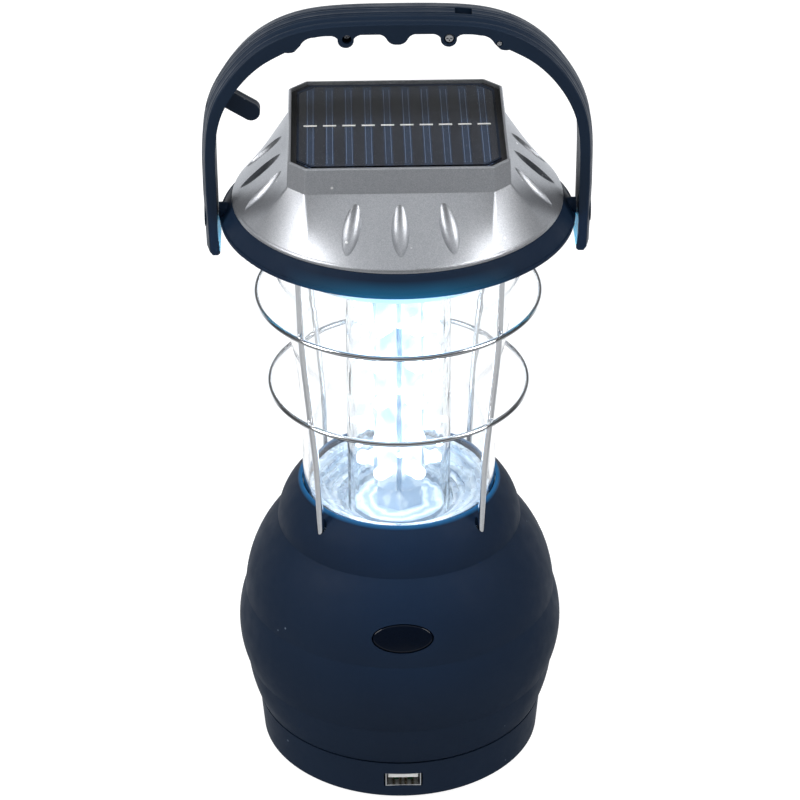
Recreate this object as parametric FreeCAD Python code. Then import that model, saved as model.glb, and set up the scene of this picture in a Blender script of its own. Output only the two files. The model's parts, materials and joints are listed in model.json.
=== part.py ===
import FreeCAD, Part
import math
import os

# Solar camping lantern. Millimetres, +Z up, front towards -Y, origin on the floor under the
# lantern's middle. Every function below makes one sub-part, and main() writes them all.

V = FreeCAD.Vector

# Driving dimensions -------------------------------------------------------------------------
FOOT_H = 0.8                    # the feet lift the base this far
BASE_R = 52.5                   # base ring, bottom
SEAM_Z = 17.2                   # top of the base ring
SEAM_R = 53.8
SEAM_GAP = 0.4
SHELL_WALL = 2.6                # radial wall of the ribbed body shell
SHELL_TOP_Z = 110.9
SHELL_MOUTH_R = 35.9
GLOBE_Z0 = 100.4
GLOBE_Z1 = 214.0
GLOBE_WALL = 1.8
TUBE_R = 19.0
COLUMN_FLAT = 8.0               # light column, middle to flat
LED_ROWS = 6
LED_PITCH = 15.0
LED_Z0 = 119.0
ROD_R = 1.25
RING_WIRE_R = 0.95
RING_Z = (152.2, 189.2)
WELD = 0.25                     # the rings sink this far into the rods
RIM_R = 62.9                    # the rim is widest at the top of its lip, RIM_LIP_Z
RIM_LIP_Z = 220.7
RIM_Z0 = 216.5
RIM_TOP_Z = 226.5
RIM_TOP_R = 58.9
COVER_Z0 = 226.7
COVER_R = 58.4
BOX_Z0 = 245.6                  # square box on the head
BOX_Z1 = 254.9
BOX_X = 38.5                    # half sizes of the box
BOX_Y = 35.8
BOX_CUT = 6.0                   # its corner chamfer
SKIRT_Z = 228.3                 # the slopes start here, above the cover's round edge
COVER_WALL = 2.2                # measured level, not square to the slopes
CELL_STRIPS = 11
PIVOT_Z = 221.4
PIVOT_R = 1.6
EAR_R = 3.3
EAR_X0 = 59.6                   # the ears stand out from here to EAR_X
EAR_X = 63.2
PAD_R = 5.2                     # round pads over the pivots, outside the handle
PAD_X = 68.2
PIN_X0 = 60.6
PIN_X = 66.7
BAIL_HALF_W = 9.2               # handle, half width along Y
GROOVE_HALF_W = 2.5
HOOK_HALF_W = 2.2
BAIL_EDGE = 0.4                 # chamfer of its outer edges
CROWN = 1.2                     # the handle's outer face stands this much higher in the middle
HOOK_PIVOT = (17.8, 290.8)
BUTTON_Z = 75.0
BUTTON_Y = -56.12
BUTTON_TILT = 16.7              # degrees, the shell's slope there
USB_Z = 9.1
USB_BLADES = (-3.5, -1.0, 1.0, 3.5)
RUN_GAP = 0.05                  # radial clearance of running fits


# Helpers ------------------------------------------------------------------------------------
def xz(point, y=0.0):
    return V(point[0], y, point[1])


def path_edges(start, steps, y=0.0):
    """Edges in a plane y: a step is a line's end, or an arc's (middle, end)."""
    edges = []
    here = start
    for step in steps:
        if isinstance(step[0], tuple):
            middle, there = step
            edges.append(Part.Arc(xz(here, y), xz(middle, y), xz(there, y)).toShape())
        else:
            there = step
            edges.append(Part.LineSegment(xz(here, y), xz(there, y)).toShape())
        here = there
    return edges


def turned(start, *steps):
    """A solid of revolution about Z from a closed outline of (radius, z) points."""
    face = Part.Face(Part.Wire(path_edges(start, list(steps) + [start])))
    return face.revolve(V(0, 0, 0), V(0, 0, 1), 360)


def slab(x0, x1, y0, y1, z0, z1):
    return Part.makeBox(x1 - x0, y1 - y0, z1 - z0, V(x0, y0, z0))


def post(x, y, z0, z1, radius):
    return Part.makeCylinder(radius, z1 - z0, V(x, y, z0))


def ring(outer, inner, z0, z1):
    return post(0, 0, z0, z1, outer).cut(post(0, 0, z0, z1, inner))


def rod(centre, axis, radius, start, end):
    """A cylinder along axis between two distances from centre."""
    return Part.makeCylinder(radius, end - start, centre + axis * start, axis)


def polar(radius, azimuth, z=0.0):
    angle = math.radians(azimuth)
    return V(radius * math.cos(angle), radius * math.sin(angle), z)


def around(shape, azimuths):
    copies = []
    for azimuth in azimuths:
        copy = shape.copy()
        copy.rotate(V(0, 0, 0), V(0, 0, 1), azimuth)
        copies.append(copy)
    return copies


def fused(shapes):
    return shapes[0].multiFuse(shapes[1:]).removeSplitter()


def group(shapes):
    return Part.makeCompound(shapes)


def spline(points, first=None, last=None):
    curve = Part.BSplineCurve()
    if first is None:
        curve.interpolate(points)
    else:
        curve.interpolate(Points=points, InitialTangent=first, FinalTangent=last)
    return curve


def spline_pieces(curve):
    """A spline's edges between the points it was drawn through."""
    knots = curve.getKnots()
    edges = []
    for start, end in zip(knots, knots[1:]):
        piece = curve.copy()
        piece.segment(start, end)
        edges.append(piece.toShape())
    return edges


def cross_head_screw(head_r, head_h, shank_r, shank, axis, seat):
    """A pan-head screw: the head stands on seat against axis, the shank runs along axis."""
    head = Part.makeCylinder(head_r, head_h, V(0, 0, -head_h))
    head = head.makeFillet(head_h * 0.45, [e for e in head.Edges if e.BoundBox.ZMax < -head_h * 0.9])
    recess = head_h * 0.55
    for long_x, long_y in ((0.6, 0.14), (0.14, 0.6)):
        wide = head_r * long_x
        deep = head_r * long_y
        head = head.cut(slab(-wide, wide, -deep, deep, -head_h - 1, recess - head_h))
    screw = head.fuse(Part.makeCylinder(shank_r, shank, V(0, 0, -0.1))).removeSplitter()
    screw.Placement = FreeCAD.Placement(seat, FreeCAD.Rotation(V(0, 0, 1), axis))
    return screw


def bent_lead(points, radius, bends):
    """A round lead through points, its corners rounded to the given bend radii."""
    edges = []
    here = points[0]
    for i in range(1, len(points) - 1):
        before = (points[i - 1] - points[i]).normalize()
        after = (points[i + 1] - points[i]).normalize()
        half = before.getAngle(after) / 2
        reach = bends[i - 1] / math.tan(half)
        inward = (before + after).normalize()
        middle = points[i] + inward * (bends[i - 1] / math.sin(half) - bends[i - 1])
        start = points[i] + before * reach
        end = points[i] + after * reach
        edges.append(Part.LineSegment(here, start).toShape())
        edges.append(Part.Arc(start, middle, end).toShape())
        here = end
    edges.append(Part.LineSegment(here, points[-1]).toShape())
    section = Part.Wire(Part.makeCircle(radius, points[0], points[1] - points[0]))
    return Part.Wire(edges).makePipeShell([section], True, False)


# Base ---------------------------------------------------------------------------------------
BASE_SCREWS = (30, 150, 210, 330)
FEET = (60, 120, 240, 300)
FIXING_R = 43.5                 # pitch radius of base screws and feet
FLOOR_TOP = 3.8
DOOR_X = 24.0
DOOR_Y0 = -26.5
DOOR_Y1 = 30.5
TONGUE_X = 6.0
TONGUE_Y = -35.0
DOOR_SCREW_Y = -31.0
DOOR_TOP = 2.4
DOOR_GAP = 0.25
SCREW_SEAT_Z = 6.0


def door_outline(grow, z0, z1):
    plate = slab(-DOOR_X - grow, DOOR_X + grow, DOOR_Y0 - grow, DOOR_Y1 + grow, z0, z1)
    tongue = slab(-TONGUE_X - grow, TONGUE_X + grow, TONGUE_Y - grow, DOOR_Y0, z0, z1)
    return fused([plate, tongue])


def base_shell():
    shell = turned((44.0, FOOT_H), (51.7, FOOT_H), (BASE_R, 1.6), (SEAM_R, SEAM_Z), (51.0, SEAM_Z),
                   (51.0, 20.4), (50.6, 20.8), (48.8, 20.8), (48.8, 15.0), (51.2, 13.4),
                   (50.2, FLOOR_TOP), (44.0, FLOOR_TOP))
    shell = shell.fuse(post(0, 0, FOOT_H, FLOOR_TOP, 44.2)).removeSplitter()
    holes = [door_outline(DOOR_GAP, 0, DOOR_TOP + 0.2)]
    holes.append(slab(-22.6, 22.6, -25.1, 29.1, 0, FLOOR_TOP + 1))
    bosses = []
    for azimuth in BASE_SCREWS:
        spot = polar(FIXING_R, azimuth)
        bosses.append(post(spot.x, spot.y, FLOOR_TOP - 1, 17.0, 4.2))
        holes.append(post(spot.x, spot.y, 0, SCREW_SEAT_Z, 3.3))
        holes.append(post(spot.x, spot.y, 0, 18.0, 1.7))
    for azimuth in FEET:
        spot = polar(FIXING_R, azimuth)
        holes.append(post(spot.x, spot.y, 0, FOOT_H + 0.8, 5.2))
    bosses.append(post(0, DOOR_SCREW_Y, FLOOR_TOP - 0.5, 10.0, 3.0))
    holes.append(post(0, DOOR_SCREW_Y, 0, 9.0, 1.25))
    for side in (-1, 1):
        bosses.append(slab(side * 9.5 - 1.5, side * 9.5 + 1.5, -48.0, -36.0, FLOOR_TOP - 0.5, 4.8))
    holes.append(slab(-7.2, 7.2, -60, -47, USB_Z - 3.1, USB_Z + 3.1))
    return shell.multiFuse(bosses).cut(group(holes)).removeSplitter()


def feet():
    pads = []
    for azimuth in FEET:
        spot = polar(FIXING_R, azimuth)
        pad = post(spot.x, spot.y, 0, FOOT_H + 0.8, 5.0)
        pads.append(pad.makeFillet(0.5, [e for e in pad.Edges if e.BoundBox.ZMax < 0.1]))
    return group(pads)


def battery_door():
    door = door_outline(0, 0.9, DOOR_TOP)
    grips = [slab(-9, 9, y, y + 1.2, 0, 1.5) for y in (18, 21, 24)]
    grips.append(post(0, DOOR_SCREW_Y, 0, 3, 1.5))
    grips.append(post(0, DOOR_SCREW_Y, 0, 1.7, 2.6))
    return door.cut(group(grips))


def battery_door_screw():
    return cross_head_screw(2.3, 0.8, 1.2, 6.8, V(0, 0, 1), V(0, DOOR_SCREW_Y, 1.7))


TRAY_TOP = 20.6
CELL_R = 7.2
CELL_X = (-15.0, 0.0, 15.0)
CELL_Z = 11.4
CELL_Y0 = -22.4
CELL_LENGTH = 49.2


def battery_tray():
    tray = slab(-25.2, 25.2, -28.0, 32.0, FLOOR_TOP, TRAY_TOP)
    tray = tray.cut(slab(-23.4, 23.4, -26.2, 30.2, FLOOR_TOP - 1, TRAY_TOP - 1.6))
    for x in (-18, 18):
        for y in (-22, 26):
            tray = tray.fuse(post(x, y, TRAY_TOP, 23.6, 2.6)).cut(post(x, y, TRAY_TOP, 24, 0.95))
    return tray.removeSplitter()


def battery_cells():
    cells = []
    for x in CELL_X:
        can = Part.makeCylinder(CELL_R, CELL_LENGTH, V(x, CELL_Y0, CELL_Z), V(0, 1, 0))
        can = can.makeFillet(0.7, [e for e in can.Edges if isinstance(e.Curve, Part.Circle)])
        nub = Part.makeCylinder(2.6, 1.4, V(x, CELL_Y0 + CELL_LENGTH - 0.1, CELL_Z), V(0, 1, 0))
        cells.append(can.fuse(nub).removeSplitter())
    return group(cells)


def battery_contacts():
    plates = []
    for x in CELL_X:
        plates.append(slab(x - 5, x + 5, -26.1, -25.7, 6.5, 16.5))
        plates.append(slab(x - 5, x + 5, 28.6, 29.0, 6.5, 16.5))
    return group(plates)


def battery_springs():
    """Bowed leaf springs between the front contacts and the cells."""
    back = -25.65
    crest = CELL_Y0 - 0.05
    outer = [V(0, back, CELL_Z - 3.4), V(0, crest, CELL_Z), V(0, back, CELL_Z + 3.4)]
    inner = [V(0, back, CELL_Z - 3.0), V(0, crest - 0.3, CELL_Z), V(0, back, CELL_Z + 3.0)]
    edges = [Part.Arc(*outer).toShape(), Part.Arc(*inner).toShape()]
    for i in (0, 2):
        edges.append(Part.LineSegment(outer[i], inner[i]).toShape())
    face = Part.Face(Part.Wire(Part.__sortEdges__(edges)))
    springs = []
    for x in CELL_X:
        leaf = face.extrude(V(4.0, 0, 0))
        leaf.translate(V(x - 2.0, 0, 0))
        springs.append(leaf)
    return group(springs)


BOARD_Z = 23.6
BOARD_THICK = 1.6
BOARD_TOP = BOARD_Z + BOARD_THICK


def main_board():
    board = post(0, 0, BOARD_Z, BOARD_TOP, 38.0)
    holes = [post(0, 0, 0, 30, 3.2)]
    for x in (-18, 18):
        for y in (-22, 26):
            holes.append(post(x, y, 0, 30, 1.2))
    for side in (-1, 1):
        holes.append(slab(side * 36 - 6, side * 36 + 6, -50, 50, 0, 30))
    return board.cut(group(holes))


def board_parts():
    choke = ring(7.0, 3.0, BOARD_TOP, BOARD_TOP + 6)
    choke.translate(V(-17, 3, 0))
    cap_tall = post(14, 10, BOARD_TOP, BOARD_TOP + 12, 4.0)
    cap_short = post(22, -6, BOARD_TOP, BOARD_TOP + 8, 3.2)
    chip = slab(-5, 5, -20, -13.5, BOARD_TOP, BOARD_TOP + 1.8)
    plug = slab(-6, 6, 24, 30, BOARD_TOP, BOARD_TOP + 7)
    diodes = [slab(x, x + 5, -31, -28, BOARD_TOP, BOARD_TOP + 2) for x in (-16, -8, 4, 12)]
    return group([choke, cap_tall, cap_short, chip, plug] + diodes)


def board_screws():
    screws = []
    for x in (-18, 18):
        for y in (-22, 26):
            screws.append(cross_head_screw(1.9, 1.4, 0.9, 4.2, V(0, 0, -1), V(x, y, BOARD_TOP)))
    return group(screws)


def usb_shell():
    outer = slab(-6.6, 6.6, -52.4, -38.9, USB_Z - 2.9, USB_Z + 2.9)
    inner = slab(-6.25, 6.25, -53, -39.3, USB_Z - 2.55, USB_Z + 2.55)
    shell = outer.cut(inner)
    lips = []
    for side in (-1, 1):
        lips.append(slab(side * 2.6 - 1, side * 2.6 + 1, -49, -45, USB_Z - 3.4, USB_Z - 2.5))
    return shell.cut(group(lips))


def usb_tongue():
    body = slab(-6.2, 6.2, -41.5, -39.35, USB_Z - 2.5, USB_Z + 2.5)
    tongue = slab(-5.55, 5.55, -51.4, -41, USB_Z + 0.2, USB_Z + 2.04)
    grooves = [slab(x - 0.55, x + 0.55, -50.8, -42, USB_Z, USB_Z + 0.35) for x in USB_BLADES]
    return fused([body, tongue]).cut(group(grooves))


def usb_contacts():
    return group([slab(x - 0.5, x + 0.5, -50.6, -42.2, USB_Z + 0.05, USB_Z + 0.33) for x in USB_BLADES])


def usb_board():
    return slab(-11, 11, -48.5, -36.0, 4.8, USB_Z - 2.9)


def base_screws():
    screws = []
    for azimuth in BASE_SCREWS:
        seat = polar(FIXING_R, azimuth, SCREW_SEAT_Z)
        screws.append(cross_head_screw(2.8, 2.0, 1.4, 20.0, V(0, 0, 1), seat))
    return group(screws)


# Body shell ---------------------------------------------------------------------------------
def body_outside():
    """The ribbed bell, filled: four bulges between soft creases."""
    z0 = SEAM_Z + SEAM_GAP
    return turned((0, z0), (53.5, z0), (53.9, z0 + 0.4), ((56.55, 26.0), (58.0, 34.9)),
                  ((60.75, 49.0), (58.1, 63.5)), ((54.4, 79.8), (45.3, 93.9)),
                  ((42.8, 103.0), (37.6, 109.95)), ((37.0, 110.65), (36.4, SHELL_TOP_Z)), (0, SHELL_TOP_Z))


def body_inside():
    wall = SHELL_WALL
    return turned((0, SEAM_Z), (53.9 - wall, SEAM_Z), ((56.55 - wall, 26.0), (58.0 - wall, 34.9)),
                  ((60.75 - wall, 49.0), (58.1 - wall, 63.5)), ((54.4 - wall, 79.8), (45.3 - wall, 93.9)),
                  ((40.5, 101.9), (36.4, 107.3)), (SHELL_MOUTH_R, 107.8), (SHELL_MOUTH_R, 113), (0, 113))


BUTTON_MIDDLE = V(0, BUTTON_Y, BUTTON_Z)
BUTTON_DOME_R = 52.0


def button_axis():
    """Outwards, square to the shell at the button."""
    tilt = math.radians(BUTTON_TILT)
    return V(0, -math.cos(tilt), math.sin(tilt))


def set_at_button(shape, depth):
    """Stand a shape built up +Z on the shell's slope, its foot this far under the button's face."""
    axis = button_axis()
    turn = FreeCAD.Rotation(V(1, 0, 0), V(0, axis.z, -axis.y), axis, "ZXY")
    shape.Placement = FreeCAD.Placement(BUTTON_MIDDLE - axis * depth, turn)
    return shape


def oval(half_w, half_h, depth0, depth1):
    """An elliptical prism between two depths under the button's face."""
    edge = Part.Ellipse(V(0, 0, 0), half_w, half_h).toShape()
    prism = Part.Face(Part.Wire(edge)).extrude(V(0, 0, depth1 - depth0))
    return set_at_button(prism, depth1)


def button_block(half_w, half_h, depth0, depth1):
    """A rectangular block in the same place as oval()."""
    return set_at_button(slab(-half_w, half_w, -half_h, half_h, 0, depth1 - depth0), depth1)


def button_post(across, radius, depth0, depth1):
    return rod(BUTTON_MIDDLE + V(across, 0, 0), button_axis(), radius, -depth1, -depth0)


SWITCH_DEPTH = 13.7             # face of the switch board under the button's face
SWITCH_SCREW_X = 15.0
PLUNGER_R = 1.7
PLUNGER_TOP = 9.0               # depth of the plunger's end under the button's face
SEAT_SCREWS = (0, 90, 180, 270)
SEAT_SCREW_R = 39.6
ROD_AZIMUTHS = (45, 135, 225, 315)
ROD_TOP_Z = 217.8
ROD_HOLE_R = 1.9                # the bell's holes are loose on the rods' inner side
ROD_HOLE_SHIFT = 0.6


def rod_line(z):
    """Radius of a guard rod's axis at height z."""
    corners = ((92.0, 40.4), (132.0, 42.6), (184.0, 48.9), (ROD_TOP_Z, 50.1))
    for (z0, r0), (z1, r1) in zip(corners, corners[1:]):
        if z <= z1:
            return r0 + (r1 - r0) * (z - z0) / (z1 - z0)
    return corners[-1][1]


def body_shell():
    outside = body_outside()
    inside = body_inside()
    extras = []
    holes = []
    for azimuth in BASE_SCREWS:
        spot = polar(FIXING_R, azimuth)
        extras.append(post(spot.x, spot.y, 17.3, 32.0, 4.2))
        web = slab(FIXING_R, 58, -1.2, 1.2, 23.0, 32.0)
        extras += around(web, [azimuth])
        holes.append(post(spot.x, spot.y, 17, 29.0, 1.4 + RUN_GAP))
    for azimuth in SEAT_SCREWS:
        spot = polar(SEAT_SCREW_R, azimuth)
        extras.append(post(spot.x, spot.y, 99.2, 107.0, 2.5))
        holes.append(post(spot.x, spot.y, 99, 104.5, 0.95))
    for side in (-1, 1):
        extras.append(button_post(side * SWITCH_SCREW_X, 2.2, 2.0, SWITCH_DEPTH))
        holes.append(button_post(side * SWITCH_SCREW_X, 0.95, 8.0, SWITCH_DEPTH + 1))
    extras = [extra.common(inside.fuse(outside)) for extra in extras]
    shell = outside.cut(inside).multiFuse(extras)
    foot = polar(rod_line(92), 0, 92)
    lean = (polar(rod_line(132), 0, 132) - foot).normalize()
    holes += around(rod(foot - V(ROD_HOLE_SHIFT, 0, 0), lean, ROD_HOLE_R, 0, 30), ROD_AZIMUTHS)
    holes.append(oval(11.3, 5.7, -3, 9))
    return shell.cut(group(holes)).removeSplitter()


def power_button():
    dome = Part.makeSphere(BUTTON_DOME_R, BUTTON_MIDDLE - button_axis() * BUTTON_DOME_R)
    cap = oval(11.0, 5.4, -3, 4.5).common(dome)
    face = [e for e in cap.Edges if (e.CenterOfMass - BUTTON_MIDDLE).dot(button_axis()) > -2.0]
    cap = cap.makeFillet(0.8, face)
    flange = oval(12.5, 6.8, 4.5, 5.7)
    stem = button_post(0, 2.5, 5.6, PLUNGER_TOP)
    return fused([cap, flange, stem])


def switch_plunger():
    return button_post(0, PLUNGER_R, PLUNGER_TOP, 11.3)


def tact_switch():
    housing = button_block(3.0, 3.0, 10.4, SWITCH_DEPTH)
    return housing.cut(button_post(0, PLUNGER_R + 0.1, 10.0, 13.0))


def switch_board():
    board = button_block(18.5, 7.0, SWITCH_DEPTH, SWITCH_DEPTH + BOARD_THICK)
    holes = [button_post(side * SWITCH_SCREW_X, 1.2, SWITCH_DEPTH - 1, SWITCH_DEPTH + 3) for side in (-1, 1)]
    return board.cut(group(holes))


def switch_screws():
    screws = []
    for side in (-1, 1):
        seat = BUTTON_MIDDLE + V(side * SWITCH_SCREW_X, 0, 0) - button_axis() * (SWITCH_DEPTH + BOARD_THICK)
        screws.append(cross_head_screw(1.9, 1.4, 0.9, 5.5, button_axis(), seat))
    return group(screws)


# Globe and light column ---------------------------------------------------------------------
GLOBE_PROFILE = ((35.6, 120.0), (36.0, 142.0), (37.4, 160.0), (41.0, 180.0), (44.5, 198.0),
                 (46.0, GLOBE_Z1))


def globe_side(inset):
    """The globe's flaring side, moved inwards by inset, as an edge from bottom to top."""
    points = [V(35.5 - inset, 0, GLOBE_Z0)] + [V(r - inset, 0, z) for r, z in GLOBE_PROFILE]
    return spline(points, V(0, 0, 1), V(0.1, 0, 1)).toShape()


def globe():
    outer = globe_side(0)
    inner = globe_side(GLOBE_WALL)
    bottom = Part.LineSegment(V(35.5 - GLOBE_WALL, 0, GLOBE_Z0), V(35.5, 0, GLOBE_Z0)).toShape()
    top = Part.LineSegment(V(46.0, 0, GLOBE_Z1), V(46.0 - GLOBE_WALL, 0, GLOBE_Z1)).toShape()
    face = Part.Face(Part.Wire(Part.__sortEdges__([bottom, outer, top, inner])))
    return face.revolve(V(0, 0, 0), V(0, 0, 1), 360)


def globe_seat():
    seat = turned((6.0, 97.0), (41.2, 97.0), (41.0, 99.0), (33.4, 99.0), (33.4, 101.5), (32.0, 101.5),
                  (32.0, 99.0), (6.0, 99.0))
    holes = []
    for azimuth in SEAT_SCREWS:
        spot = polar(SEAT_SCREW_R, azimuth)
        holes.append(post(spot.x, spot.y, 96, 100, 1.25))
    for azimuth in ROD_AZIMUTHS:
        spot = polar(rod_line(98), azimuth)
        holes.append(post(spot.x, spot.y, 96, 100, ROD_R + 0.5))
    return seat.cut(group(holes))


def seat_screws():
    screws = []
    for azimuth in SEAT_SCREWS:
        seat = polar(SEAT_SCREW_R, azimuth, 97.0)
        screws.append(cross_head_screw(1.9, 1.4, 0.9, 7.0, V(0, 0, 1), seat))
    return group(screws)


def lower_gasket():
    return ring(35.6, 33.6, 99.0, GLOBE_Z0)


def upper_gasket():
    return ring(46.2, 44.4, GLOBE_Z1, 216.4)


def lower_reflector():
    """A stepped bowl whose rings spread the light upwards."""
    tread = 2.2
    rise = 1.5
    skin = 1.1
    upper = []
    under = []
    for i in range(5):
        radius = 20.2 + i * tread
        height = 101.5 + i * rise
        upper += [(radius, height), (radius + tread, height + 0.4)]
        under += [(radius + skin, height - skin), (radius + tread + skin, height - skin + 0.4)]
    rim_z = upper[-1][1] + rise
    upper += [(upper[-1][0], rim_z), (33.2, rim_z + 0.3), (33.2, 102.4), (31.6, 101.8), (31.6, 99.0)]
    under = [(20.2, 99.0), (20.2 + skin, 99.0)] + under[:-2]
    under += [(30.4, under[-1][1]), (30.4, 99.0)]
    return turned((20.2, 99.0), *(upper + under[::-1][:-1]))


def inner_tube():
    return ring(TUBE_R, TUBE_R - 1.4, 99.0, 206.5)


def hexagon(flat, z0, z1):
    corner = flat / math.cos(math.radians(30))
    points = [polar(corner, 60 * i + 30, z0) for i in range(7)]
    return Part.Face(Part.makePolygon(points)).extrude(V(0, 0, z1 - z0))


def led_column():
    flange = post(0, 0, 99.0, 101.0, 16.5)
    return flange.fuse(hexagon(COLUMN_FLAT, 101.0, 206.8)).cut(post(0, 0, 98, 208, 4.5)).removeSplitter()


def led_boards():
    strip = slab(COLUMN_FLAT, COLUMN_FLAT + 1.2, -4.0, 4.0, 110.0, 204.0)
    return group(around(strip, [60 * i for i in range(6)]))


def leds():
    """Domed lamps, one column of them on each board."""
    foot = COLUMN_FLAT + 1.2
    collar = Part.makeCylinder(2.9, 1.0, V(foot, 0, 0), V(1, 0, 0))
    barrel = Part.makeCylinder(2.5, 4.2, V(foot, 0, 0), V(1, 0, 0))
    dome = Part.makeSphere(2.5, V(foot + 4.2, 0, 0))
    lamp = fused([collar, barrel, dome])
    lamps = []
    for row in range(LED_ROWS):
        raised = lamp.copy()
        raised.translate(V(0, 0, LED_Z0 + row * LED_PITCH))
        lamps += around(raised, [60 * i for i in range(6)])
    return group(lamps)


def upper_reflector():
    """A white hat over the tube: disc, collar round the tube and a wall up to the rim."""
    return turned((5.5, 207.0), (19.3, 207.0), (19.3, 203.5), (20.7, 203.5), (20.7, 207.0), (43.0, 207.0),
                  (43.0, 216.5), (41.6, 216.5), (41.6, 208.4), (5.5, 208.4))


# Guard --------------------------------------------------------------------------------------
def guard_rods():
    points = [polar(rod_line(z), 0, z) for z in (94.0, 132.0, 184.0, ROD_TOP_Z)]
    one = bent_lead(points, ROD_R, (250.0, 250.0))
    return group(around(one, ROD_AZIMUTHS))


def guard_ring(z):
    radius = rod_line(z) + ROD_R + RING_WIRE_R - WELD
    return Part.makeTorus(radius, RING_WIRE_R, V(0, 0, z))


# Head ---------------------------------------------------------------------------------------
RIM_PLATE_TOP = 218.9
HEAD_SCREWS = (67.5, 112.5, 247.5, 292.5)
HEAD_SCREW_R = 52.3


def top_rim():
    """The dark rim: plate, sloping band with a lip, collar round the globe and the two pivot ears."""
    rim = turned((30.0, RIM_Z0), (46.5, RIM_Z0), (46.5, 212.0), (48.2, 212.0), (48.2, RIM_Z0),
                 (56.2, RIM_Z0), (61.6, 218.8), ((62.6, 219.2), (RIM_R, 219.9)), (RIM_R, RIM_LIP_Z - 0.3),
                 (RIM_R - 0.3, RIM_LIP_Z), (RIM_R - 0.7, RIM_LIP_Z), (RIM_TOP_R, 226.1),
                 (RIM_TOP_R - 0.4, RIM_TOP_Z), (56.6, RIM_TOP_Z), (59.4, 221.2), (56.4, RIM_PLATE_TOP),
                 (30.0, RIM_PLATE_TOP))
    ears = []
    holes = []
    for side in (-1, 1):
        out = V(side, 0, 0)
        ears.append(rod(V(0, 0, PIVOT_Z), out, EAR_R, EAR_X0, EAR_X))
        holes.append(rod(V(0, 0, PIVOT_Z), out, PIVOT_R + RUN_GAP, PIN_X0 - 0.2, EAR_X + 1))
    for azimuth in ROD_AZIMUTHS:
        spot = polar(rod_line(RIM_Z0), azimuth)
        holes.append(post(spot.x, spot.y, 210, ROD_TOP_Z + 0.2, ROD_R + 0.15))
    for azimuth in HEAD_SCREWS:
        spot = polar(HEAD_SCREW_R, azimuth)
        holes.append(post(spot.x, spot.y, 216, 220, 1.6))
    return rim.multiFuse(ears).cut(group(holes)).removeSplitter()


def head_screws():
    screws = []
    for azimuth in HEAD_SCREWS:
        seat = polar(HEAD_SCREW_R, azimuth, RIM_Z0)
        screws.append(cross_head_screw(2.4, 1.6, 1.3, 8.5, V(0, 0, 1), seat))
    return group(screws)


def box_corners(half_x, half_y, cut, z):
    quarter = [(half_x, half_y - cut), (half_x - cut, half_y)]
    points = []
    for sx, sy in ((1, 1), (-1, 1), (-1, -1), (1, -1)):
        pair = quarter if sx * sy > 0 else quarter[::-1]
        points += [V(sx * x, sy * y, z) for x, y in pair]
    return points


def box_outline(half_x, half_y, cut, z, rounding=0.0):
    """The box's eight-sided outline, its corners rounded if asked; a rounded one starts with an arc."""
    corners = box_corners(half_x, half_y, cut, z)
    if rounding == 0.0:
        return Part.makePolygon(corners + corners[:1])
    reach = rounding * math.tan(math.radians(22.5))
    rise = rounding * (1 / math.cos(math.radians(22.5)) - 1)
    edges = []
    for i, corner in enumerate(corners):
        back = (corners[i - 1] - corner).normalize()
        ahead = (corners[(i + 1) % 8] - corner).normalize()
        bow = corner + (back + ahead).normalize() * rise
        start = corner + back * reach
        end = corner + ahead * reach
        after = corners[(i + 1) % 8] - ahead * reach
        edges.append(Part.Arc(start, bow, end).toShape())
        edges.append(Part.LineSegment(end, after).toShape())
    return Part.Wire(edges)


def box_prism(half_x, half_y, cut, z0, z1, draft=0.0, rounding=0.0):
    low = box_outline(half_x, half_y, cut, z0, rounding)
    high = box_outline(half_x - draft, half_y - draft, cut, z1, rounding)
    return Part.makeLoft([low, high], True, True)


def corner_azimuth(corner, radius, half_x):
    """Where a corner's ridge meets the circle: corners on the X sides keep their y, the others their x."""
    if abs(corner.x) > half_x - 0.01:
        across = math.copysign(math.sqrt(radius ** 2 - corner.y ** 2), corner.x)
        return math.degrees(math.atan2(corner.y, across))
    deep = math.copysign(math.sqrt(radius ** 2 - corner.x ** 2), corner.y)
    return math.degrees(math.atan2(deep, corner.x))


def round_to_box(radius, z0, half_x, half_y, cut, z1, rounding=0.0):
    """A ruled solid from a circle up to the box's outline; its ridges are as round as the corners."""
    corners = box_corners(half_x, half_y, cut, z1)
    angles = [corner_azimuth(corner, radius, half_x) for corner in corners]
    spread = math.degrees(rounding / radius)
    arcs = []
    for i in range(len(angles)):
        start = angles[i] + spread
        sweep = (angles[(i + 1) % len(angles)] - angles[i]) % 360 - 2 * spread
        spans = [(start, sweep)]
        if rounding > 0.0:
            spans.insert(0, (angles[i] - spread, 2 * spread))
        for first, turn in spans:
            ends = [polar(radius, first + turn * part, z0) for part in (0, 0.5, 1)]
            arcs.append(Part.Arc(*ends).toShape())
    return Part.makeLoft([Part.Wire(arcs), box_outline(half_x, half_y, cut, z1, rounding)], True, True)


DIMPLE_HALF = 12.9              # almond dimples: half length of the spindle that sinks them, its
DIMPLE_BULGE = 3.5              # greatest radius, and how far its axis stays above the slope
DIMPLE_LIFT = 1.55
DIMPLE_BACK = 1.5               # wall left behind a dimple
SKIRT_R = 57.8
RIDGE_R = 1.5                   # rounding of the ridges and of the box's corners
BOX_DRAFT = 0.4
BOX_EDGE = 0.35                 # chamfer round the box's top


def almond(grow):
    """A pointed spindle along X."""
    half = DIMPLE_HALF + grow
    arc = Part.Arc(V(-half, 0, 0), V(0, 0, DIMPLE_BULGE + grow), V(half, 0, 0)).toShape()
    chord = Part.LineSegment(V(half, 0, 0), V(-half, 0, 0)).toShape()
    return Part.Face(Part.Wire([arc, chord])).revolve(V(0, 0, 0), V(1, 0, 0), 360)


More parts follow.
